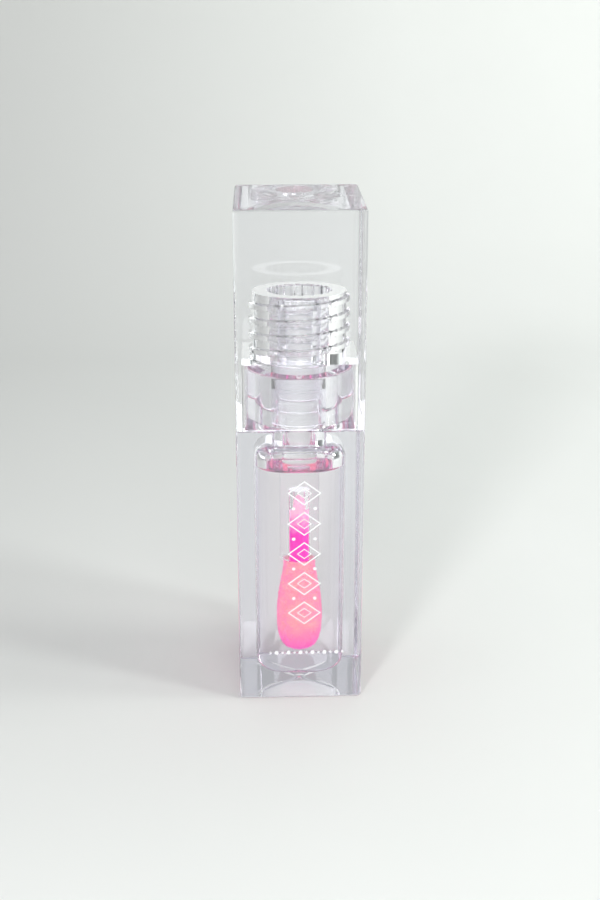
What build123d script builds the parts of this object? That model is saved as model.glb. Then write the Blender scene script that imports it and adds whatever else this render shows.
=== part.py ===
from build123d import *
import os

# Square clear lip gloss tube: a thick-walled bottle with a round collar and a threaded neck, and a
# solid clear cap that carries the wand. All sizes are in millimetres. The origin is at the centre
# of the bottle's base, and +Z points up, out of the neck.

# Driving dimensions
width = 20.0  # outer side of the square, bottle and cap alike
bottle_height = 47.4  # from the base to the shoulder that the cap sits on
cap_top = 82.3  # overall height
seam_gap = 0.1  # between the bottle's shoulder and the cap's rim
overlap = 1.0  # how far a cut or a peg starts inside what it meets
edge_radius = 0.3  # outer edges of the bottle and the cap

# Cavity of the bottle
floor_z = 2.9
cavity_top_z = 43.6
cavity_width_low = 14.4
cavity_width_high = 14.7
cavity_corner_radius = 5.2
cavity_edge_radius = 2.4
gate_radius = 1.2  # moulding gate, a shallow dimple under the base
gate_depth = 0.25

# Collar and neck
collar_radius = 8.85
collar_top_z = 55.7
neck_root_radius = 6.95
neck_top_z = 68.0
neck_bore_radius = 5.5
wiper_seat_radius = 4.45
wiper_seat_z = 56.4

# Thread, right-handed: the bottle's ridge runs in the cap's groove
thread_pitch = 2.4
ridge_start_z = 57.8
ridge_turns = 3.8
ridge_crest_radius = 7.6
ridge_base_width = 1.1
ridge_crest_width = 0.4
groove_turns = 4.1
groove_depth_radius = 7.9
groove_clearance = 0.2  # on each flank
thread_sink = 0.25  # how far the ridge and the groove's tool reach into their own wall

# Cap
skirt_inner_width = 18.0
skirt_corner_radius = 1.0
skirt_top_z = 58.1
cap_bore_radius = 7.35
cap_bore_top_z = 68.4
boss_radius = 5.2
boss_end_z = 57.4
flute_count = 18  # short flutes round the boss, under the bore's ceiling
flute_radius = 0.35
flute_end_z = 65.7
socket_radius = 3.35
socket_top_z = 65.6

# Wiper
wiper_flange_radius = 5.35
wiper_flange_top_z = 57.2
wiper_outer_radius = 4.42
wiper_inner_radius = 3.95
wiper_end_z = 46.7
wiper_cone_top_z = 53.6
wiper_cone_root_z = 52.4
wiper_lip_z = 50.4
wiper_lip_outer_radius = 3.62
wiper_lip_inner_radius = 3.36

# Stem
stem_radius = 3.3
stem_end_z = 22.5
stem_top_z = 65.5
socket_bore_radius = 1.65
socket_bore_top_z = 34.7
stem_end_radius = 0.5

# Applicator: a plastic core plugged into the stem, with a flocked head over its paddle
plug_radius = 1.6
plug_top_z = 33.3
head_top_z = 22.4
head_neck_radius = 2.6
head_outline = [  # (radius, height) down the flocked head, from the stem's end to the tip
    (head_neck_radius, head_top_z),
    (2.65, 20.9),
    (3.05, 18.6),
    (3.6, 15.6),
    (3.85, 11.6),
    (3.5, 8.2),
    (2.4, 6.2),
]
tip_z = 5.5
flock_thickness = 0.75
bond_gap = 0.03  # between the core and what it is bonded in

# Gloss
gloss_level_z = 39.4
fill_gap = 0.03  # between the gloss and the walls that hold it


def cavity_shape(name, inset):
    """The bottle's cavity: a rounded square that widens upwards, with rounded floor and shoulders."""
    with BuildPart() as cavity:
        with BuildSketch(Plane.XY.offset(floor_z + inset)):
            low_side = cavity_width_low - 2 * inset
            RectangleRounded(low_side, low_side, cavity_corner_radius - inset)
        with BuildSketch(Plane.XY.offset(cavity_top_z - inset)):
            high_side = cavity_width_high - 2 * inset
            RectangleRounded(high_side, high_side, cavity_corner_radius - inset)
        loft()
        floor_edges = cavity.faces().sort_by(Axis.Z)[0].edges()
        roof_edges = cavity.faces().sort_by(Axis.Z)[-1].edges()
        fillet(floor_edges + roof_edges, cavity_edge_radius - inset)
    cavity.part.label = name
    return cavity.part


def thread_shape(root_radius, crest_radius, base_width, crest_width, turns):
    """A trapezoid swept along the thread's helix, its wide side at root_radius."""
    with BuildPart() as thread:
        with BuildLine() as path:
            Helix(thread_pitch, thread_pitch * turns, root_radius, center=(0, 0, ridge_start_z))
        start = path.line @ 0
        with BuildSketch(Plane(origin=start, x_dir=(1, 0, 0), z_dir=path.line % 0)):
            with BuildLine():
                Polyline(
                    (0, -base_width / 2),
                    (crest_radius - root_radius, -crest_width / 2),
                    (crest_radius - root_radius, crest_width / 2),
                    (0, base_width / 2),
                    close=True,
                )
            make_face()
        sweep(path=path.line, is_frenet=True)
    return thread.part


def head_shape(name, skin):
    """The applicator's rounded paddle, drawn in by skin all over below its open top."""
    with BuildPart() as head:
        with BuildSketch(Plane.XZ):
            with BuildLine():
                outline = [(radius - skin, height) for radius, height in head_outline]
                side = Spline(*outline, (0, tip_z + skin), tangents=[(0, -1), (-1, 0)])
                Polyline(side @ 1, (0, head_top_z), side @ 0)
            make_face()
        revolve(axis=Axis.Z)
    head.part.label = name
    return head.part


os.makedirs("parts", exist_ok=True)

# Bottle: thick square walls, a round collar that the cap's skirt hides, and the threaded neck
ridge = thread_shape(
    neck_root_radius - thread_sink,
    ridge_crest_radius,
    ridge_base_width + thread_sink,
    ridge_crest_width,
    ridge_turns,
)
with BuildPart() as bottle:
    with BuildSketch():
        RectangleRounded(width, width, edge_radius)
    extrude(amount=bottle_height)
    fillet(bottle.faces().sort_by(Axis.Z)[0].edges(), edge_radius)
    with BuildSketch(Plane.XY.offset(bottle_height)):
        Circle(collar_radius)
    extrude(amount=collar_top_z - bottle_height)
    fillet(bottle.faces().sort_by(Axis.Z)[-1].edges(), edge_radius)
    with BuildSketch(Plane.XY.offset(collar_top_z)):
        Circle(neck_root_radius)
    extrude(amount=neck_top_z - collar_top_z)
    fillet(bottle.faces().sort_by(Axis.Z)[-1].edges(), edge_radius)
    add(ridge)
    add(cavity_shape("cavity", 0), mode=Mode.SUBTRACT)
    with BuildSketch(Plane.XY.offset(cavity_top_z - overlap)):
        Circle(wiper_seat_radius)
    extrude(amount=wiper_seat_z - cavity_top_z + overlap, mode=Mode.SUBTRACT)
    with BuildSketch(Plane.XY.offset(wiper_seat_z)):
        Circle(neck_bore_radius)
    extrude(amount=neck_top_z - wiper_seat_z, mode=Mode.SUBTRACT)
    Cone(gate_radius, gate_radius / 2, 2 * gate_depth, mode=Mode.SUBTRACT)
bottle.part.label = "bottle"
export_step(bottle.part, "parts/bottle.step")

# Wiper: a soft flanged sleeve that drops into the neck, with a cone inside whose lip scrapes the stem
with BuildPart() as wiper:
    with BuildSketch(Plane.XZ):
        with BuildLine():
            Polyline(
                (wiper_lip_inner_radius, wiper_lip_z),
                (wiper_lip_outer_radius, wiper_lip_z),
                (wiper_inner_radius, wiper_cone_root_z),
                (wiper_inner_radius, wiper_end_z),
                (wiper_outer_radius, wiper_end_z),
                (wiper_outer_radius, wiper_seat_z + fill_gap),
                (wiper_flange_radius, wiper_seat_z + fill_gap),
                (wiper_flange_radius, wiper_flange_top_z),
                (wiper_inner_radius, wiper_flange_top_z),
                (wiper_inner_radius, wiper_cone_top_z),
                close=True,
            )
        make_face()
    revolve(axis=Axis.Z)
wiper.part.label = "wiper"
export_step(wiper.part, "parts/wiper.step")

# Cap: a solid clear block, hollow only where it covers the collar and the neck, with a round
# boss down its middle that holds the wand
groove = thread_shape(
    cap_bore_radius - thread_sink,
    groove_depth_radius,
    ridge_base_width + 2 * groove_clearance,
    ridge_crest_width + 2 * groove_clearance,
    groove_turns,
)
with BuildPart() as cap:
    with BuildSketch(Plane.XY.offset(bottle_height + seam_gap)):
        RectangleRounded(width, width, edge_radius)
    extrude(amount=cap_top - bottle_height - seam_gap)
    fillet(cap.faces().sort_by(Axis.Z)[-1].edges(), edge_radius)
    with BuildSketch(Plane.XY.offset(bottle_height)):
        RectangleRounded(skirt_inner_width, skirt_inner_width, skirt_corner_radius)
    extrude(amount=skirt_top_z - bottle_height, mode=Mode.SUBTRACT)
    with BuildSketch(Plane.XY.offset(skirt_top_z)):
        Circle(cap_bore_radius)
    extrude(amount=cap_bore_top_z - skirt_top_z, mode=Mode.SUBTRACT)
    add(groove, mode=Mode.SUBTRACT)
    with BuildSketch(Plane.XY.offset(boss_end_z)):
        Circle(boss_radius)
    extrude(amount=cap_bore_top_z - boss_end_z)
    with BuildSketch(Plane.XY.offset(flute_end_z)):
        with PolarLocations(boss_radius, flute_count):
            Circle(flute_radius)
    extrude(amount=cap_bore_top_z - flute_end_z, mode=Mode.SUBTRACT)
    with BuildSketch(Plane.XY.offset(boss_end_z)):
        Circle(socket_radius)
    extrude(amount=socket_top_z - boss_end_z, mode=Mode.SUBTRACT)
cap.part.label = "cap"
export_step(cap.part, "parts/cap.step")

# Stem: a clear round rod with a blind bore for the applicator's plug
with BuildPart() as stem:
    with BuildSketch(Plane.XY.offset(stem_end_z)):
        Circle(stem_radius)
    extrude(amount=stem_top_z - stem_end_z)
    fillet(stem.faces().sort_by(Axis.Z)[0].edges(), stem_end_radius)
    with BuildSketch(Plane.XY.offset(stem_end_z)):
        Circle(socket_bore_radius)
    extrude(amount=socket_bore_top_z - stem_end_z, mode=Mode.SUBTRACT)
stem.part.label = "stem"
export_step(stem.part, "parts/stem.step")

# Applicator core: a plug in the stem's bore and a thin paddle that stiffens the flocked head
with BuildPart() as applicator_core:
    add(head_shape("paddle", flock_thickness + bond_gap))
    with BuildSketch(Plane.XY.offset(head_top_z - overlap)):
        Circle(plug_radius)
    extrude(amount=plug_top_z - head_top_z + overlap)
    fillet(applicator_core.faces().sort_by(Axis.Z)[-1].edges(), plug_radius / 2)
applicator_core.part.label = "applicator_core"
export_step(applicator_core.part, "parts/applicator_core.step")

# Flocked head: the soft layer bonded over the paddle
with BuildPart() as applicator_flock:
    add(head_shape("flock", 0))
    add(head_shape("hollow", flock_thickness), mode=Mode.SUBTRACT)
applicator_flock.part.label = "applicator_flock"
export_step(applicator_flock.part, "parts/applicator_flock.step")

# Gloss: the liquid in the cavity up to its level, closed round the stem and the flocked head
with BuildPart() as gloss_fill:
    add(cavity_shape("fill", fill_gap))
    split(bisect_by=Plane.XY.offset(gloss_level_z), keep=Keep.BOTTOM)
    with BuildSketch(Plane.XY.offset(stem_end_z - fill_gap)):
        Circle(stem_radius + fill_gap)
    extrude(amount=gloss_level_z - stem_end_z + fill_gap, mode=Mode.SUBTRACT)
    with BuildSketch(Plane.XY.offset(head_top_z - overlap)):
        Circle(head_neck_radius + fill_gap)
    extrude(amount=stem_end_z - head_top_z + overlap, mode=Mode.SUBTRACT)
    add(head_shape("head", -fill_gap), mode=Mode.SUBTRACT)
gloss_fill.part.label = "gloss_fill"
export_step(gloss_fill.part, "parts/gloss_fill.step")
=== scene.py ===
import math
import random

import bpy
from mathutils import Matrix, Vector


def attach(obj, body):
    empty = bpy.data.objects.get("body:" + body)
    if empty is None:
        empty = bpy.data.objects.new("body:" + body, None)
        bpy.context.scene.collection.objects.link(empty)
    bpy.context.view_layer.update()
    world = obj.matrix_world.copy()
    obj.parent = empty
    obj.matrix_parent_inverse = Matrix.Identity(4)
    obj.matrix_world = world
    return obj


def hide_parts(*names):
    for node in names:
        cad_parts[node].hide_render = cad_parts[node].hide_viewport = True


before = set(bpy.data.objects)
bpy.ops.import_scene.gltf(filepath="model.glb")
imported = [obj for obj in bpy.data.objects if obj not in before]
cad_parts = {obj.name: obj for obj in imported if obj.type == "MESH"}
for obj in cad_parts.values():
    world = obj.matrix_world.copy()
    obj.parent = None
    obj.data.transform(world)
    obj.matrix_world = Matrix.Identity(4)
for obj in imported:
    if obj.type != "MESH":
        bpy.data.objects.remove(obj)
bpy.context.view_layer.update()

MM = 0.001
SIDES = 192  # points round every ring, so that any two rings can be joined
QUARTER = SIDES // 4

# Sizes in millimetres, as in the CAD parts but for what a comment says. Heights are above the base.
WIDTH = 20.0
BOTTLE_TOP = 47.4
CAP_BOTTOM = 47.5
CAP_TOP = 82.3
EDGE = 0.3
EDGE_SIDE = 0.6  # the upright edges, a little rounder than the CAD's
FLOOR = 2.9
CAVITY_TOP = 43.6
CAVITY_LOW, CAVITY_HIGH = 14.4, 14.7
CAVITY_CORNER = 5.2
CAVITY_EDGE = 2.4
GATE_RADIUS, GATE_DEPTH = 1.2, 0.25
COLLAR_RADIUS, COLLAR_TOP = 8.85, 55.7
NECK_ROOT, NECK_TOP, NECK_BORE = 6.95, 68.0, 5.5
SEAT_RADIUS, SEAT_TOP = 4.45, 56.4
PITCH = 2.4
THREAD_START = 57.8
RIDGE_TURNS, RIDGE_CREST = 3.8, 7.6
RIDGE_BASE, RIDGE_FLAT = 0.95, 0.4
GROOVE_TURNS, GROOVE_DEPTH = 4.1, 7.9
GROOVE_BASE, GROOVE_FLAT = 1.15, 0.8
SKIRT_INNER, SKIRT_CORNER, SKIRT_TOP = 18.0, 1.0, 58.1
BORE_RADIUS, BORE_TOP = 7.35, 68.4
BOSS_RADIUS, BOSS_END = 5.2, 57.4
FLUTES, FLUTE_RADIUS, FLUTE_END = 18, 0.35, 65.7
SOCKET_RADIUS, SOCKET_TOP = 3.35, 65.6
WIPER_FLANGE, WIPER_OUTER, WIPER_INNER = 5.35, 4.42, 3.95
WIPER_END, WIPER_SEAT, WIPER_TOP = 46.7, 56.43, 57.2  # seated just clear of the neck's ledge
CONE_TOP, CONE_BACK = 53.6, 52.4
LIP_Z, LIP_INNER, LIP_OUTER = 50.4, 3.36, 3.62
STEM_RADIUS, STEM_END, STEM_TOP = 3.3, 22.5, 65.5
STEM_END_RADIUS = 0.5
PLUG_BORE_RADIUS, PLUG_BORE_TOP = 1.65, 34.7
PLUG_RADIUS, PLUG_TOP = 1.6, 33.3
TRAPPED_AIR = 31.4  # the stem's bore holds air above this height and gloss below it
HEAD_TOP, TIP = 22.4, 5.5
GLOSS_LEVEL = 39.4
CLIMB = 0.7  # how far the gloss climbs the wall
CLIMB_STEM = 0.5
FILL_GAP = 0.03
BREAK = 0.08  # the small bevel at the seam
PADDLE_SKIN = 1.0  # how deep the core's paddle lies in the head
FLOCK_SKIN = 0.3  # how deep the fibres' roots lie in the head
FIBRES = 20000
FIBRE_REACH = (0.3, 0.55)
FIBRE_THICKNESS = (0.03, 0.05)
INK_FRONT, INK_BACK = -WIDTH / 2 - 0.03, -WIDTH / 2 + 0.01  # the print straddles the front face

# Refraction
PLASTIC_IOR = 1.52
GLOSS_IOR = 1.46


# ---------------------------------------------------------------- rings and shells

def circle(radius, z):
    """A ring of SIDES points, counted from +X, which lines up with a square's."""
    step = 2 * math.pi / SIDES
    return [(radius * math.cos(i * step), radius * math.sin(i * step), z) for i in range(SIDES)]


def square(side, corner, z):
    """A rounded square ring. Each quarter holds half a side, a corner's arc and half a side."""
    half = side / 2
    corner = max(corner, 0.01)
    arc = QUARTER // 2
    straight = (QUARTER - arc) // 2
    inner = half - corner
    quarter = []
    for i in range(straight):
        quarter.append((half, inner * i / straight))
    for i in range(arc + 1):
        angle = math.pi / 2 * i / arc
        quarter.append((inner + corner * math.cos(angle), inner + corner * math.sin(angle)))
    for i in range(1, straight):
        quarter.append((inner * (1 - i / straight), half))
    points = []
    for turn in range(4):
        cos, sin = round(math.cos(turn * math.pi / 2)), round(math.sin(turn * math.pi / 2))
        points += [(x * cos - y * sin, x * sin + y * cos, z) for x, y in quarter]
    return points


def shaped(radius_at, z):
    """A ring whose radius depends on the angle and the height."""
    ring = []
    for i in range(SIDES):
        angle = 2 * math.pi * i / SIDES
        radius = radius_at(angle, z)
        ring.append((radius * math.cos(angle), radius * math.sin(angle), z))
    return ring


def arc(centre_r, centre_z, radius, start, end, steps):
    """Points (r, z) on a profile's arc, angles in degrees from +r towards +z."""
    points = []
    for i in range(steps + 1):
        angle = math.radians(start + (end - start) * i / steps)
        points.append((centre_r + radius * math.cos(angle), centre_z + radius * math.sin(angle)))
    return points


def shell(name, rings, kinds, material, start=None, end=None, closed=False):
    """A mesh of rings joined in turn. kinds says how wet with gloss the band after each ring is.
    start and end are heights on the axis that close it, and closed joins its last ring to its
    first."""
    vertices = [point for ring in rings for point in ring]
    faces, wet = [], []
    count = len(rings)
    for k in range(count if closed else count - 1):
        a, b = k * SIDES, ((k + 1) % count) * SIDES
        for i in range(SIDES):
            j = (i + 1) % SIDES
            faces.append((a + i, a + j, b + j, b + i))
            wet.append(kinds[k])
    if start is not None:
        vertices.append((0, 0, start))
        hub = len(vertices) - 1
        for i in range(SIDES):
            faces.append((hub, (i + 1) % SIDES, i))
            wet.append(kinds[0])
    if end is not None:
        vertices.append((0, 0, end))
        hub = len(vertices) - 1
        last = (count - 1) * SIDES
        for i in range(SIDES):
            faces.append((hub, last + i, last + (i + 1) % SIDES))
            wet.append(kinds[-1])
    return mesh_object(name, vertices, faces, material, wet=wet)


def mesh_object(name, vertices, faces, material, sharp=30, wet=None):
    """A smooth-shaded object from points in millimetres, its edges sharper than `sharp` kept hard."""
    mesh = bpy.data.meshes.new(name)
    mesh.from_pydata([(x * MM, y * MM, z * MM) for x, y, z in vertices], [], faces)
    mesh.materials.append(material)
    if wet:
        mesh.attributes.new("wet", "FLOAT", "FACE").data.foreach_set("value", wet)
    mesh.validate()
    mesh.shade_smooth()
    mesh.set_sharp_from_angle(angle=math.radians(sharp))
    obj = bpy.data.objects.new(name, mesh)
    bpy.context.scene.collection.objects.link(obj)
    weighted = obj.modifiers.new("flat faces stay flat", "WEIGHTED_NORMAL")
    weighted.keep_sharp = True
    weighted.weight = 100
    return obj


def lathe_rings(points):
    return [circle(max(r, 0.001), z) for r, z in points]


# ---------------------------------------------------------------- materials

def new_material(name):
    material = bpy.data.materials.new(name)
    material.use_nodes = True
    nodes = material.node_tree.nodes
    return material, nodes, material.node_tree.links, nodes["Principled BSDF"]


def map_range(nodes, links, source, low, high, to_low=0.0, to_high=1.0):
    """Maps source from the range low to high to the range to_low to to_high, held at both ends."""
    node = nodes.new("ShaderNodeMapRange")
    node.inputs["From Min"].default_value = low
    node.inputs["From Max"].default_value = high
    node.inputs["To Min"].default_value = to_low
    node.inputs["To Max"].default_value = to_high
    links.new(source, node.inputs["Value"])
    return node.outputs["Result"]


def arithmetic(nodes, links, operation, *values):
    """The result of a sum on sockets or numbers."""
    node = nodes.new("ShaderNodeMath")
    node.operation = operation
    for value, socket in zip(values, node.inputs):
        if isinstance(value, (int, float)):
            socket.default_value = value
        else:
            links.new(value, socket)
    return node.outputs["Value"]


def mix_colour(nodes, links, factor, a, b):
    """A colour between a and b, each a colour socket or three numbers."""
    node = nodes.new("ShaderNodeMix")
    node.data_type = "RGBA"
    links.new(factor, node.inputs["Factor"])
    for value, socket in ((a, node.inputs["A"]), (b, node.inputs["B"])):
        if isinstance(value, tuple):
            socket.default_value = (*value, 1)
        else:
            links.new(value, socket)
    return node.outputs["Result"]


def colour_ramp(nodes, links, factor, low_colour, high_colour, low=0.0, high=1.0):
    node = nodes.new("ShaderNodeValToRGB")
    for element, colour, position in zip(
        node.color_ramp.elements, (low_colour, high_colour), (low, high)
    ):
        element.color = (*colour, 1)
        element.position = position
    links.new(factor, node.inputs["Fac"])
    return node.outputs["Color"]


def noise(nodes, links, scale, detail=2.0):
    """Noise that is fixed to the object."""
    node = nodes.new("ShaderNodeTexNoise")
    node.inputs["Scale"].default_value = scale
    node.inputs["Detail"].default_value = detail
    coordinates = nodes.new("ShaderNodeTexCoord")
    links.new(coordinates.outputs["Object"], node.inputs["Vector"])
    return node.outputs["Fac"]


def place(nodes, links, axis):
    """The object's own X, Y or Z in metres."""
    coordinates = nodes.new("ShaderNodeTexCoord")
    split = nodes.new("ShaderNodeSeparateXYZ")
    links.new(coordinates.outputs["Object"], split.inputs["Vector"])
    return split.outputs[axis]


def painted(nodes, links, name):
    """An attribute of the mesh."""
    node = nodes.new("ShaderNodeAttribute")
    node.attribute_name = name
    return node.outputs["Fac"]


def wetness(nodes, links, dry_value, wet_value):
    """A value that changes where gloss wets the surface: everywhere at 1, nowhere at 0, and at a
    half only while the surface is below the gloss's level, so that a lifted stem is dry."""
    geometry = nodes.new("ShaderNodeNewGeometry")
    split = nodes.new("ShaderNodeSeparateXYZ")
    links.new(geometry.outputs["Position"], split.inputs["Vector"])
    contact = (GLOSS_LEVEL + CLIMB_STEM) * MM
    below = arithmetic(nodes, links, "LESS_THAN", split.outputs["Z"], contact)
    total = arithmetic(nodes, links, "MULTIPLY_ADD", painted(nodes, links, "wet"), 2.0, below)
    return map_range(nodes, links, total, 1.0, 2.0, dry_value, wet_value)


BODY_DENSITY = 20.0


def tinted(nodes, links, shader, tint, edge_tint, body):
    """See-through with a tint, another where light grazes it and a body colour in long ways through."""
    shader.inputs["Transmission Weight"].default_value = 1.0
    grazing = nodes.new("ShaderNodeLayerWeight")
    grazing.inputs["Blend"].default_value = 0.25
    colour = mix_colour(nodes, links, grazing.outputs["Facing"], tint, edge_tint)
    links.new(colour, shader.inputs["Base Color"])
    volume = nodes.new("ShaderNodeVolumeAbsorption")
    volume.inputs["Color"].default_value = (*body, 1)
    volume.inputs["Density"].default_value = BODY_DENSITY
    links.new(volume.outputs["Volume"], nodes["Material Output"].inputs["Volume"])


def clear(name, tint, edge_tint, body, haze=0.02, ripple=0.0, wetted=False):
    """Clear moulded plastic, which bends light less where the gloss wets it. Haze is handling marks,
    and ripple the waves of a moulded face."""
    material, nodes, links, shader = new_material(name)
    tinted(nodes, links, shader, tint, edge_tint, body)
    shader.inputs["IOR"].default_value = PLASTIC_IOR
    if wetted:
        links.new(wetness(nodes, links, PLASTIC_IOR, PLASTIC_IOR / GLOSS_IOR), shader.inputs["IOR"])
    marks = map_range(nodes, links, noise(nodes, links, 180, 3), 0.55, 0.8, 0.0, haze)
    links.new(marks, shader.inputs["Roughness"])
    if ripple:
        bump = nodes.new("ShaderNodeBump")
        bump.inputs["Strength"].default_value = ripple
        bump.inputs["Distance"].default_value = 0.1 * MM
        links.new(noise(nodes, links, 300, 1), bump.inputs["Height"])
        links.new(bump.outputs["Normal"], shader.inputs["Normal"])
    return material


def liquid(name, tint, edge_tint, body):
    """The gloss: its top bends light, and where it touches a wall the wall's own face does that."""
    material, nodes, links, shader = new_material(name)
    tinted(nodes, links, shader, tint, edge_tint, body)
    shader.inputs["IOR"].default_value = GLOSS_IOR
    shader.inputs["Roughness"].default_value = 0.0
    passing = nodes.new("ShaderNodeBsdfTransparent")
    mix = nodes.new("ShaderNodeMixShader")
    links.new(wetness(nodes, links, 0.0, 1.0), mix.inputs["Fac"])
    links.new(shader.outputs["BSDF"], mix.inputs[1])
    links.new(passing.outputs["BSDF"], mix.inputs[2])
    links.new(mix.outputs["Shader"], nodes["Material Output"].inputs["Surface"])
    return material


LILAC = (0.86, 0.84, 0.93)
WATER_CLEAR = (0.99, 0.988, 0.994)
LILAC_BODY = (0.79, 0.77, 0.89)

PALE_LILAC = (0.88, 0.87, 0.93)
CAP_BODY = (0.79, 0.79, 0.83)
STEM_EDGE, STEM_BODY = (0.90, 0.89, 0.93), (0.93, 0.93, 0.95)
GLOSS_TINT, GLOSS_EDGE, GLOSS_BODY = (1.0, 0.88, 0.94), (1.0, 0.80, 0.90), (0.985, 0.85, 0.925)

bottle_clear = clear("bottle_clear", WATER_CLEAR, LILAC, LILAC_BODY, ripple=0.0015, wetted=True)
cap_clear = clear("cap_clear", WATER_CLEAR, PALE_LILAC, CAP_BODY, ripple=0.0015)
wiper_clear = clear("wiper_clear", WATER_CLEAR, LILAC, LILAC_BODY, haze=0.04)
stem_clear = clear("stem_clear", WATER_CLEAR, STEM_EDGE, STEM_BODY, haze=0.01, wetted=True)
gloss_pink = liquid("gloss_pink", GLOSS_TINT, GLOSS_EDGE, GLOSS_BODY)


# ---------------------------------------------------------------- thread

RUN_OUT = 0.12  # the part of a turn over which a thread's end runs out


def thread_radius(angle, z, root, crest, base, flat, turns):
    """Radius of a threaded wall: a trapezoid ridge on a helix that starts at THREAD_START."""
    along = angle / (2 * math.pi)
    nearest = round((z - THREAD_START) / PITCH - along)
    turn = nearest + along
    if turn < 0 or turn > turns:
        return root
    run_out = min(1.0, turn / RUN_OUT, (turns - turn) / RUN_OUT)
    offset = abs(z - THREAD_START - turn * PITCH)
    share = (base / 2 - offset) / (base / 2 - flat / 2)
    return root + (crest - root) * max(0.0, min(1.0, share)) * run_out


def ridge(angle, z):
    return thread_radius(angle, z, NECK_ROOT, RIDGE_CREST, RIDGE_BASE, RIDGE_FLAT, RIDGE_TURNS)


def groove(angle, z):
    return thread_radius(angle, z, BORE_RADIUS, GROOVE_DEPTH, GROOVE_BASE, GROOVE_FLAT, GROOVE_TURNS)


def threaded(radius_at, low, high, step=0.06):
    """Rings of a threaded wall from low to high, or from high to low."""
    count = max(2, round(abs(high - low) / step))
    return [shaped(radius_at, low + (high - low) * i / count) for i in range(count + 1)]


# ---------------------------------------------------------------- pieces

DRY, DIPPED, WET = 0.0, 0.5, 1.0  # a dipped face is wet only while it is below the gloss's level


class Profile:
    """Rings, and how wet the band that follows each is, gathered in order."""

    def __init__(self):
        self.rings, self.kinds = [], []

    def add(self, rings, kind=DRY):
        self.rings += rings
        self.kinds += [kind] * len(rings)


def cavity_side(z, inset=0.0):
    share = (z - FLOOR) / (CAVITY_TOP - FLOOR)
    return CAVITY_LOW + (CAVITY_HIGH - CAVITY_LOW) * share - 2 * inset


def cavity_ring(z, inset=0.0):
    """The cavity's ring at this height, on its wall or on the rounded floor or shoulder edges."""
    radius = CAVITY_EDGE - inset
    low, high = FLOOR + inset + radius, CAVITY_TOP - inset - radius
    pull = 0.0
    if z < low:
        pull = radius - math.sqrt(max(0.0, radius**2 - (low - z) ** 2))
    if z > high:
        pull = radius - math.sqrt(max(0.0, radius**2 - (z - high) ** 2))
    return square(cavity_side(z, inset) - 2 * pull, CAVITY_CORNER - inset - pull, z)


def edge_heights(start, end, steps, ease_start, ease_end):
    """Heights from start to end, closer together towards the flat end of a rounded edge."""
    heights = []
    for i in range(steps + 1):
        t = i / steps
        if ease_start:
            t = 1 - math.cos(t * math.pi / 2)
        elif ease_end:
            t = math.sin(t * math.pi / 2)
        heights.append(start + (end - start) * t)
    return heights


def make_bottle():
    profile = Profile()
    profile.add([circle(GATE_RADIUS * 0.6, GATE_DEPTH), circle(GATE_RADIUS, 0)])
    for r, z in arc(0, EDGE, EDGE, -90, 0, 7):
        profile.add([square(WIDTH - 2 * EDGE + 2 * r, EDGE_SIDE - EDGE + r, z)])
    profile.add([square(WIDTH, EDGE_SIDE, BOTTLE_TOP - BREAK)])
    profile.add([square(WIDTH - 2 * BREAK, EDGE_SIDE - BREAK, BOTTLE_TOP)])
    profile.add([circle(COLLAR_RADIUS + 0.1, BOTTLE_TOP), circle(COLLAR_RADIUS, BOTTLE_TOP + 0.1)])
    profile.add(lathe_rings(arc(COLLAR_RADIUS - EDGE, COLLAR_TOP - EDGE, EDGE, 0, 90, 6)))
    profile.add([circle(NECK_ROOT, COLLAR_TOP)])
    profile.add(threaded(ridge, COLLAR_TOP + 0.4, NECK_TOP - EDGE))
    profile.add(lathe_rings(arc(NECK_ROOT - EDGE, NECK_TOP - EDGE, EDGE, 0, 90, 6)[1:]))
    profile.add([circle(NECK_BORE, NECK_TOP), circle(NECK_BORE, SEAT_TOP)])
    profile.add([circle(SEAT_RADIUS, SEAT_TOP), circle(SEAT_RADIUS, CAVITY_TOP)])
    for z in edge_heights(CAVITY_TOP, CAVITY_TOP - CAVITY_EDGE, 16, True, False):
        profile.add([cavity_ring(z)])
    profile.add([cavity_ring(GLOSS_LEVEL + CLIMB)], WET)
    profile.add([cavity_ring(FLOOR + CAVITY_EDGE)], WET)
    for z in edge_heights(FLOOR + CAVITY_EDGE, FLOOR, 16, False, True)[1:]:
        profile.add([cavity_ring(z)], WET)
    return shell("bottle_clear", profile.rings, profile.kinds, bottle_clear, GATE_DEPTH, FLOOR)


MENISCUS_STEPS = [  # shares of the way from the wall to the stem, closer together at both
    0, 0.01, 0.025, 0.05, 0.08, 0.12, 0.17, 0.24, 0.34, 0.5, 0.68, 0.78, 0.86, 0.92, 0.96, 1,
]
MENISCUS_FALL = 0.09  # the share over which a climb falls off


def make_gloss():
    """The gloss up to its level, climbing a little at the walls and the stem."""
    profile = Profile()
    low, level = FLOOR + FILL_GAP, GLOSS_LEVEL
    radius = CAVITY_EDGE - FILL_GAP
    for z in edge_heights(low, low + radius, 16, True, False):
        profile.add([cavity_ring(z, FILL_GAP)], WET)
    contact = cavity_ring(level + CLIMB, FILL_GAP)
    stem = circle(STEM_RADIUS + FILL_GAP, 0)
    for t in MENISCUS_STEPS:
        rise = CLIMB * math.exp(-t / MENISCUS_FALL) + CLIMB_STEM * math.exp(-(1 - t) / MENISCUS_FALL)
        ring = []
        for (ax, ay, _), (bx, by, _) in zip(contact, stem):
            ring.append((ax + (bx - ax) * t, ay + (by - ay) * t, level + rise))
        profile.add([ring], DRY)
    profile.kinds[-1] = WET
    profile.add([circle(STEM_RADIUS + FILL_GAP, STEM_END - FILL_GAP)], WET)
    for r, z in head_profile(-FILL_GAP, 40):
        profile.add([circle(max(r, 0.01), z)], WET)
    return shell("gloss", profile.rings, profile.kinds, gloss_pink, low, TIP - FILL_GAP)


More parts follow.
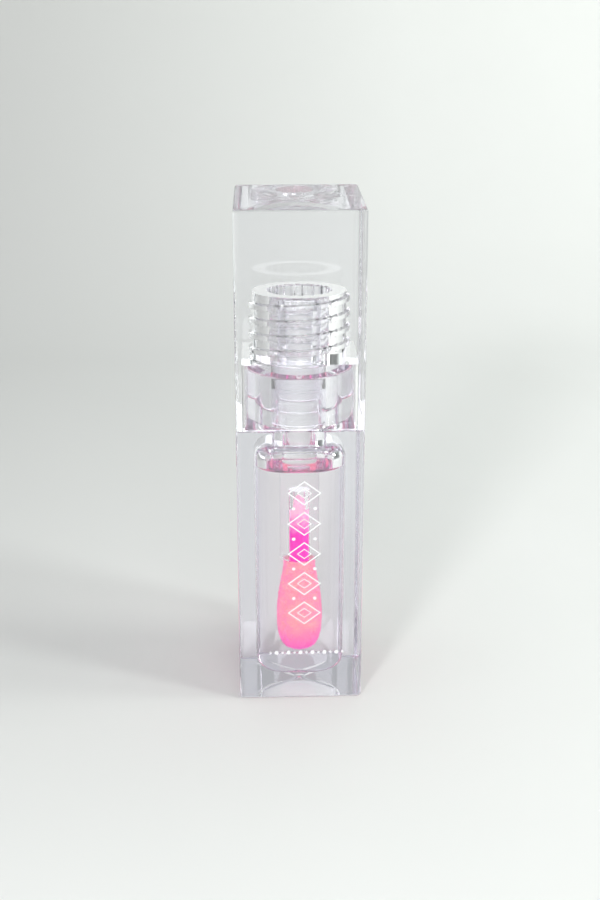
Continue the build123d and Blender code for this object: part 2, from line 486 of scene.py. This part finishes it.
def make_cap():
    profile = Profile()
    profile.add([circle(SOCKET_RADIUS, SOCKET_TOP), circle(SOCKET_RADIUS, BOSS_END)])
    profile.add([circle(BOSS_RADIUS, BOSS_END), circle(BOSS_RADIUS, FLUTE_END)])

    def fluted(angle, z):
        across = BOSS_RADIUS * math.remainder(angle, 2 * math.pi / FLUTES)
        if abs(across) >= FLUTE_RADIUS:
            return BOSS_RADIUS
        return BOSS_RADIUS - math.sqrt(FLUTE_RADIUS**2 - across**2)

    profile.add([shaped(fluted, FLUTE_END), shaped(fluted, BORE_TOP)])
    profile.add([circle(BORE_RADIUS, BORE_TOP)])
    profile.add(threaded(groove, BORE_TOP - 0.05, SKIRT_TOP))
    profile.add([square(SKIRT_INNER, SKIRT_CORNER, SKIRT_TOP), square(SKIRT_INNER, SKIRT_CORNER, CAP_BOTTOM)])
    profile.add([square(WIDTH - 0.1, EDGE_SIDE - 0.05, CAP_BOTTOM)])
    profile.add([square(WIDTH, EDGE_SIDE, CAP_BOTTOM + 0.05)])
    for r, z in arc(0, CAP_TOP - EDGE, EDGE, 0, 90, 7):
        profile.add([square(WIDTH - 2 * EDGE + 2 * r, EDGE_SIDE - EDGE + r, z)])
    return shell("cap_clear", profile.rings, profile.kinds, cap_clear, SOCKET_TOP, CAP_TOP)


def make_wiper():
    """A flanged sleeve with a cone inside, whose lip scrapes the stem."""
    points = [
        (LIP_INNER, LIP_Z), (LIP_OUTER, LIP_Z), (WIPER_INNER, CONE_BACK), (WIPER_INNER, WIPER_END),
        (WIPER_OUTER, WIPER_END), (WIPER_OUTER, WIPER_SEAT), (WIPER_FLANGE, WIPER_SEAT),
        (WIPER_FLANGE, WIPER_TOP), (WIPER_INNER, WIPER_TOP), (WIPER_INNER, CONE_TOP),
    ]
    rings = lathe_rings(points)
    return shell("wiper_clear", rings, [DRY] * len(rings), wiper_clear, closed=True)


def make_stem():
    """The rod, with the bore that holds the plug: gloss has crept in round it, under trapped air."""
    profile = Profile()
    profile.add([circle(PLUG_BORE_RADIUS, PLUG_BORE_TOP)])
    profile.add([circle(PLUG_BORE_RADIUS, TRAPPED_AIR), circle(PLUG_BORE_RADIUS, STEM_END)], WET)
    edge = STEM_END_RADIUS
    profile.add(lathe_rings(arc(STEM_RADIUS - edge, STEM_END + edge, edge, -90, 0, 8)), DIPPED)
    profile.add([circle(STEM_RADIUS, STEM_TOP)])
    return shell("stem_clear", profile.rings, profile.kinds, stem_clear, PLUG_BORE_TOP, STEM_TOP)


# ---------------------------------------------------------------- applicator

HEAD_OUTLINE = [
    (2.6, 22.4), (2.65, 20.9), (3.05, 18.6), (3.6, 15.6), (3.85, 11.6), (3.5, 8.2), (2.4, 6.2), (0.0, 5.5),
]


def head_profile(skin, steps):
    """The flocked head's outline as a smooth curve through HEAD_OUTLINE, drawn in by skin."""
    points = HEAD_OUTLINE
    curve = []
    last = len(points) - 1
    for k in range(steps + 1):
        s = last * k / steps
        i = min(int(s), last - 1)
        t = s - i
        p1, p2 = points[i], points[i + 1]
        p0 = points[i - 1] if i else (p1[0], 2 * p1[1] - p2[1])
        p3 = points[i + 2] if i + 2 <= last else (-points[last - 1][0], points[last - 1][1])
        curve.append(
            tuple(
                0.5 * (2 * b + (c - a) * t + (2 * a - 5 * b + 4 * c - d) * t**2
                       + (3 * b - a - 3 * c + d) * t**3)
                for a, b, c, d in zip(p0, p1, p2, p3)
            )
        )
    offset = []
    for k, (r, z) in enumerate(curve):
        before, after = curve[max(k - 1, 0)], curve[min(k + 1, steps)]
        dr, dz = after[0] - before[0], after[1] - before[1]
        length = math.hypot(dr, dz)
        offset.append((max(r + dz / length * skin, 0.0), z - dr / length * skin))
    return offset


def flock_material(name, root, tip, deep):
    """Wet flock in a fluorescent dye, with a painted glow: pale at the fibres' roots, hot pink towards
    their tips and towards the head's end, with soaked patches."""
    material, nodes, links, shader = new_material(name)
    patch = arithmetic(nodes, links, "MULTIPLY_ADD", noise(nodes, links, 700, 4), 0.6, -0.3)
    along = arithmetic(nodes, links, "ADD", patch, painted(nodes, links, "fibre"))
    dyed = colour_ramp(nodes, links, along, root, tip, 0.1, 0.9)
    low = map_range(nodes, links, place(nodes, links, "Z"), 10.5 * MM, TIP * MM)
    colour = mix_colour(nodes, links, low, dyed, deep)
    links.new(colour, shader.inputs["Base Color"])
    # painted glow: the flock emits its own colour, brightening it in place of light that reaches it only
    # weakly through the clear plastic
    links.new(colour, shader.inputs["Emission Color"])
    shader.inputs["Emission Strength"].default_value = 0.25
    shader.inputs["Roughness"].default_value = 0.7
    shader.inputs["Subsurface Weight"].default_value = 0.4
    shader.inputs["Subsurface Radius"].default_value = (0.0012, 0.0005, 0.0007)
    shader.inputs["Subsurface Scale"].default_value = 1.0
    return material


flock_pink = flock_material("flock_pink", (1.0, 0.58, 0.58), (1.0, 0.20, 0.68), (1.0, 0.17, 0.68))


def make_flock():
    """The head's skin with a coat of short fibres standing on it."""
    outline = head_profile(FLOCK_SKIN, 60)
    vertices, faces = [], []
    for r, z in outline[:-1]:
        vertices += circle(max(r, 0.001), z)
    for k in range(len(outline) - 2):
        for i in range(SIDES):
            j = (i + 1) % SIDES
            a, b = k * SIDES, (k + 1) * SIDES
            faces.append((a + j, a + i, b + i, b + j))
    vertices += [(0, 0, outline[-1][1]), (0, 0, outline[0][1])]
    hub = len(vertices) - 2
    last = (len(outline) - 2) * SIDES
    for i in range(SIDES):
        j = (i + 1) % SIDES
        faces.append((hub, last + j, last + i))
        faces.append((hub + 1, i, j))
    heights = [0.15] * len(vertices)
    rng = random.Random(7)
    cumulative = [0.0]
    for (r0, z0), (r1, z1) in zip(outline, outline[1:]):
        cumulative.append(cumulative[-1] + math.hypot(r1 - r0, z1 - z0) * (r0 + r1) / 2)
    for _ in range(FIBRES):
        pick = rng.random() * cumulative[-1]
        k = next(i for i in range(len(cumulative) - 1) if cumulative[i + 1] >= pick)
        t = (pick - cumulative[k]) / (cumulative[k + 1] - cumulative[k])
        (r0, z0), (r1, z1) = outline[k], outline[k + 1]
        r, z = r0 + (r1 - r0) * t, z0 + (z1 - z0) * t
        length = math.hypot(r1 - r0, z1 - z0)
        out_r, out_z = -(z1 - z0) / length, (r1 - r0) / length
        angle = rng.random() * 2 * math.pi
        cos, sin = math.cos(angle), math.sin(angle)
        root = Vector((r * cos, r * sin, z))
        normal = Vector((out_r * cos, out_r * sin, out_z))
        lean = Vector((rng.gauss(0, 0.35), rng.gauss(0, 0.35), rng.gauss(0, 0.35) + 0.15))
        grow = (normal + lean).normalized()
        reach = rng.uniform(*FIBRE_REACH)
        tip = root + grow * reach
        side = grow.orthogonal().normalized() * rng.uniform(*FIBRE_THICKNESS)
        first = len(vertices)
        for turn in range(3):
            spin = Matrix.Rotation(turn * 2 * math.pi / 3, 3, grow)
            vertices.append(tuple(root - grow * 0.03 + spin @ side))
        vertices.append(tuple(tip))
        heights += [0.2, 0.2, 0.2, rng.uniform(0.6, 1.0)]
        for turn in range(3):
            faces.append((first + turn, first + (turn + 1) % 3, first + 3))
        faces.append((first + 2, first + 1, first))
    flock = mesh_object("flocked_head", vertices, faces, flock_pink)
    attribute = flock.data.attributes.new("fibre", "FLOAT", "POINT")
    attribute.data.foreach_set("value", heights)
    return flock


def plug_material():
    """The core's plug seen through the stem, with a painted glow: magenta at its foot, paler and speckled
    above.
    """
    material, nodes, links, shader = new_material("plug_magenta")
    speckle = arithmetic(nodes, links, "MULTIPLY_ADD", noise(nodes, links, 1400, 3), 0.7, -0.35)
    height = map_range(nodes, links, place(nodes, links, "Z"), 26.5 * MM, 31.0 * MM)
    share = arithmetic(nodes, links, "ADD", speckle, height)
    colour = colour_ramp(nodes, links, share, (1.0, 0.04, 0.52), (0.95, 0.52, 0.70), 0.1, 1.0)
    links.new(colour, shader.inputs["Base Color"])
    # painted glow: the plug emits its own colour, brightening it in place of light inside the stem
    links.new(colour, shader.inputs["Emission Color"])
    shader.inputs["Emission Strength"].default_value = 0.6
    shader.inputs["Roughness"].default_value = 0.35
    shader.inputs["Subsurface Weight"].default_value = 0.5
    shader.inputs["Subsurface Radius"].default_value = (0.001, 0.0004, 0.0006)
    shader.inputs["Subsurface Scale"].default_value = 1.0
    return material


def make_core():
    """The plug, a shoulder and the paddle inside the flock."""
    dome = arc(0, PLUG_TOP - PLUG_RADIUS, PLUG_RADIUS, 0, 90, 10)
    paddle = list(reversed(head_profile(PADDLE_SKIN, 40)))
    outline = [(max(r, 0.01), z) for r, z in paddle[1:]] + [(PLUG_RADIUS, HEAD_TOP + 0.05)] + dome[:-1]
    rings = lathe_rings(outline)
    return shell("applicator_plug", rings, [WET] * len(rings), plug_material(), paddle[0][1], PLUG_TOP)


# ---------------------------------------------------------------- print on the front face

def white_ink():
    """Screen-printed ink, with a faint grain."""
    material, nodes, links, shader = new_material("white_ink")
    colour = colour_ramp(nodes, links, noise(nodes, links, 5000), (0.90, 0.90, 0.92), (0.98, 0.98, 0.99))
    links.new(colour, shader.inputs["Base Color"])
    shader.inputs["Roughness"].default_value = 0.4
    return material


def lozenge(centre_x, centre_z, half_width, half_height, stroke):
    """Outer and inner corners of an open lozenge on the front face."""
    outer = [(half_width, 0), (0, half_height), (-half_width, 0), (0, -half_height)]
    shrink = stroke / math.sin(math.atan2(half_height, half_width)) / half_width
    inner = [(x * (1 - shrink), z * (1 - shrink)) for x, z in outer]
    return [[(centre_x + x, centre_z + z) for x, z in ring] for ring in (outer, inner)]


LOZENGES, LOZENGE_STEP = 5, 5.3
LOZENGE_X, LOZENGE_Z = 0.6, 15.8  # the lowest lozenge's middle
LOZENGE_OUTER = (2.7, 2.1, 0.2)  # half width, half height and stroke
LOZENGE_INNER = (1.2, 0.9, 0.13)
SIDE_DOT_X, SIDE_DOT_RADIUS = 1.7, 0.28
ROW_DOTS, ROW_STEP, ROW_Z = 13, 0.98, 8.5
ROW_START = -4.9
SMALL_DOT, LARGE_DOT = 0.2, 0.34


def make_print():
    """A generic ornament in white ink: a column of open lozenges and dots, and a row of dots below."""
    vertices, faces = [], []

    def band(outer, inner):
        count = len(outer)
        first = len(vertices)
        for y in (INK_FRONT, INK_BACK):
            for x, z in outer + inner:
                vertices.append((x, y, z))
        for i in range(count):
            j = (i + 1) % count
            o, p, q, r = first + i, first + j, first + count + i, first + count + j
            back = 2 * count
            faces.append((q, r, p, o))
            faces.append((o + back, p + back, r + back, q + back))
            faces.append((o, p, p + back, o + back))
            faces.append((r, q, q + back, r + back))

    def dot(centre_x, centre_z, radius):
        count = 16
        first = len(vertices)
        for y in (INK_FRONT, INK_BACK):
            for i in range(count):
                angle = 2 * math.pi * i / count
                vertices.append((centre_x + radius * math.cos(angle), y, centre_z + radius * math.sin(angle)))
        faces.append(tuple(first + i for i in reversed(range(count))))
        faces.append(tuple(first + count + i for i in range(count)))
        for i in range(count):
            j = (i + 1) % count
            faces.append((first + i, first + j, first + count + j, first + count + i))

    for k in range(LOZENGES):
        centre_z = LOZENGE_Z + LOZENGE_STEP * k
        band(*lozenge(LOZENGE_X, centre_z, *LOZENGE_OUTER))
        band(*lozenge(LOZENGE_X, centre_z, *LOZENGE_INNER))
        if k:
            for side in (-1, 1):
                dot(LOZENGE_X + side * SIDE_DOT_X, centre_z - LOZENGE_STEP / 2, SIDE_DOT_RADIUS)
    for k in range(ROW_DOTS):
        dot(ROW_START + ROW_STEP * k, ROW_Z, LARGE_DOT if k % 2 else SMALL_DOT)
    return mesh_object("print_ornament", vertices, faces, white_ink())


# ---------------------------------------------------------------- assembly

bottle = make_bottle()
gloss = make_gloss()
cap = make_cap()
wiper = make_wiper()
stem = make_stem()
flock = make_flock()
core = make_core()
ornament = make_print()

for piece, body, node, slot in (
    (bottle, "bottle", "bottle", "clear_bottle"),
    (gloss, "bottle", "gloss_fill", "gloss"),
    (wiper, "bottle", "wiper", "clear_wiper"),
    (cap, "cap", "cap", "clear_cap"),
    (stem, "wand", "stem", "clear_stem"),
    (core, "wand", "applicator_core", "magenta_core"),
    (flock, "wand", "applicator_flock", "pink_flock"),
):
    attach(piece, body)
    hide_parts(node)
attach(ornament, "bottle")

# ---------------------------------------------------------------- studio

scene = bpy.context.scene


def make_sweep():
    """A pale paper sweep, flat under the tube and curving up behind it, with a painted shadow on its left."""
    half, front, back, bend, top = 1.2, -0.9, 0.16, 0.16, 0.17
    profile = [(front, 0.0), (back, 0.0)]
    for i in range(1, 25):
        angle = math.pi / 2 * i / 24
        profile.append((back + bend * math.sin(angle), bend * (1 - math.cos(angle))))
    profile.append((back + bend, top))
    vertices, faces = [], []
    for y, z in profile:
        vertices += [(-half / MM, y / MM, z / MM - 0.02), (half / MM, y / MM, z / MM - 0.02)]
    for k in range(len(profile) - 1):
        a = 2 * k
        faces.append((a, a + 1, a + 3, a + 2))
    material, nodes, links, shader = new_material("paper")
    paper = colour_ramp(nodes, links, noise(nodes, links, 40), (0.80, 0.81, 0.79), (0.82, 0.83, 0.81))
    # painted shadow: left of the tube and back from its front, the paper is mixed towards a darker grey in
    # place of the tube's cast shadow
    left = map_range(nodes, links, place(nodes, links, "X"), 0.05, -0.10)
    behind = map_range(nodes, links, place(nodes, links, "Y"), -0.055, -0.015)
    painted_shadow = arithmetic(nodes, links, "MULTIPLY", left, behind)
    colour = mix_colour(nodes, links, painted_shadow, paper, (0.68, 0.685, 0.67))
    links.new(colour, shader.inputs["Base Color"])
    shader.inputs["Roughness"].default_value = 0.9
    shader.inputs["Specular IOR Level"].default_value = 0.1
    sweep = mesh_object("paper_sweep", vertices, faces, material, sharp=60)


make_sweep()


def softbox(name, location, target, size, power, colour=(1, 1, 1)):
    light = bpy.data.lights.new(name, "AREA")
    light.shape = "RECTANGLE"
    light.size, light.size_y = size
    light.energy = power
    light.color = colour
    lamp = bpy.data.objects.new(name, light)
    lamp.location = location
    lamp.rotation_mode = "QUATERNION"
    lamp.rotation_quaternion = (Vector(target) - Vector(location)).to_track_quat("-Z", "Y")
    scene.collection.objects.link(lamp)


softbox("left softbox", (-0.20, -0.42, 0.30), (0, 0.02, 0.04), (0.08, 0.08), 0.9, (1.0, 0.98, 1.0))
softbox("right softbox", (0.46, -0.20, 0.26), (0, 0.05, 0.04), (0.08, 0.08), 1.0, (0.95, 1.0, 0.97))
softbox("backdrop softbox", (0.36, -0.02, 0.34), (0.14, 0.30, 0.10), (0.15, 0.15), 0.8, (0.97, 1.0, 0.96))
softbox("front softbox", (0.05, -0.33, 0.22), (0.02, -0.09, 0.0), (0.15, 0.15), 0.25)


def make_world():
    """Soft surroundings: a bright band low behind, a window on the left, a softer light overhead and
    dimmer sides to the right and behind the camera; violet on the left, green on the right."""
    world = bpy.data.worlds.new("studio")
    scene.world = world
    world.use_nodes = True
    nodes, links = world.node_tree.nodes, world.node_tree.links
    background = nodes["Background"]
    coordinates = nodes.new("ShaderNodeTexCoord")
    way = nodes.new("ShaderNodeSeparateXYZ")
    links.new(coordinates.outputs["Generated"], way.inputs["Vector"])

    def ramp(source, low, high, low_value, high_value):
        result = map_range(nodes, links, source, low, high, low_value, high_value)
        result.node.interpolation_type = "SMOOTHSTEP"
        return result

    def combine(operation, a, b):
        return arithmetic(nodes, links, operation, a, b)

    x, y, z = way.outputs["X"], way.outputs["Y"], way.outputs["Z"]
    band = combine("MULTIPLY", ramp(z, 0.05, 0.18, 0.0, 1.0), ramp(z, 0.38, 0.52, 1.0, 0.1))
    behind = combine("MULTIPLY", ramp(y, 0.3, 0.8, 0.0, 1.0), band)
    window = combine("MULTIPLY", ramp(x, -0.9, -0.75, 1.3, 0.0), band)
    raised = ramp(z, 0.08, 0.2, 0.0, 1.0)
    camera_side = combine("MULTIPLY", ramp(y, -0.95, -0.8, 1.0, 0.0), raised)
    right_side = combine("MULTIPLY", ramp(x, 0.45, 0.7, 0.0, 1.0), raised)
    dim_camera = ramp(camera_side, 0.0, 1.0, 1.0, 0.6)
    dim_right = ramp(right_side, 0.0, 1.0, 1.0, 0.6)
    shade = combine("MINIMUM", dim_camera, dim_right)
    fill = combine("MULTIPLY", ramp(z, 0.5, 0.9, 0.37, 0.62), shade)
    strength = combine("ADD", combine("ADD", behind, window), fill)
    links.new(strength, background.inputs["Strength"])
    colour = mix_colour(nodes, links, ramp(x, -0.7, 0.7, 0.0, 1.0), (0.97, 0.96, 1.0), (0.93, 1.0, 0.97))
    links.new(colour, background.inputs["Color"])


make_world()

camera_data = bpy.data.cameras.new("camera")
camera = bpy.data.objects.new("camera", camera_data)
scene.collection.objects.link(camera)
scene.camera = camera
CAMERA_DISTANCE = 189.7 * MM
PITCH_DOWN = math.radians(16.54)
ORBIT = math.radians(-2.0)
aim = Vector((0.26, 0.0, 65.67)) * MM
back = Vector((0, -math.cos(PITCH_DOWN), math.sin(PITCH_DOWN)))
turn = Matrix.Rotation(ORBIT, 3, "Z")
camera.location = turn @ (aim + back * CAMERA_DISTANCE)
camera.rotation_mode = "QUATERNION"
camera.rotation_quaternion = (turn @ -back).to_track_quat("-Z", "Y")
camera_data.lens = 48.0
camera_data.sensor_width = 36.0
camera_data.shift_y = -150 / 900
camera_data.clip_start = 0.01

scene.view_settings.view_transform = "Standard"
scene.cycles.max_bounces = 32
scene.cycles.transmission_bounces = 32
scene.cycles.glossy_bounces = 16
scene.cycles.transparent_max_bounces = 32
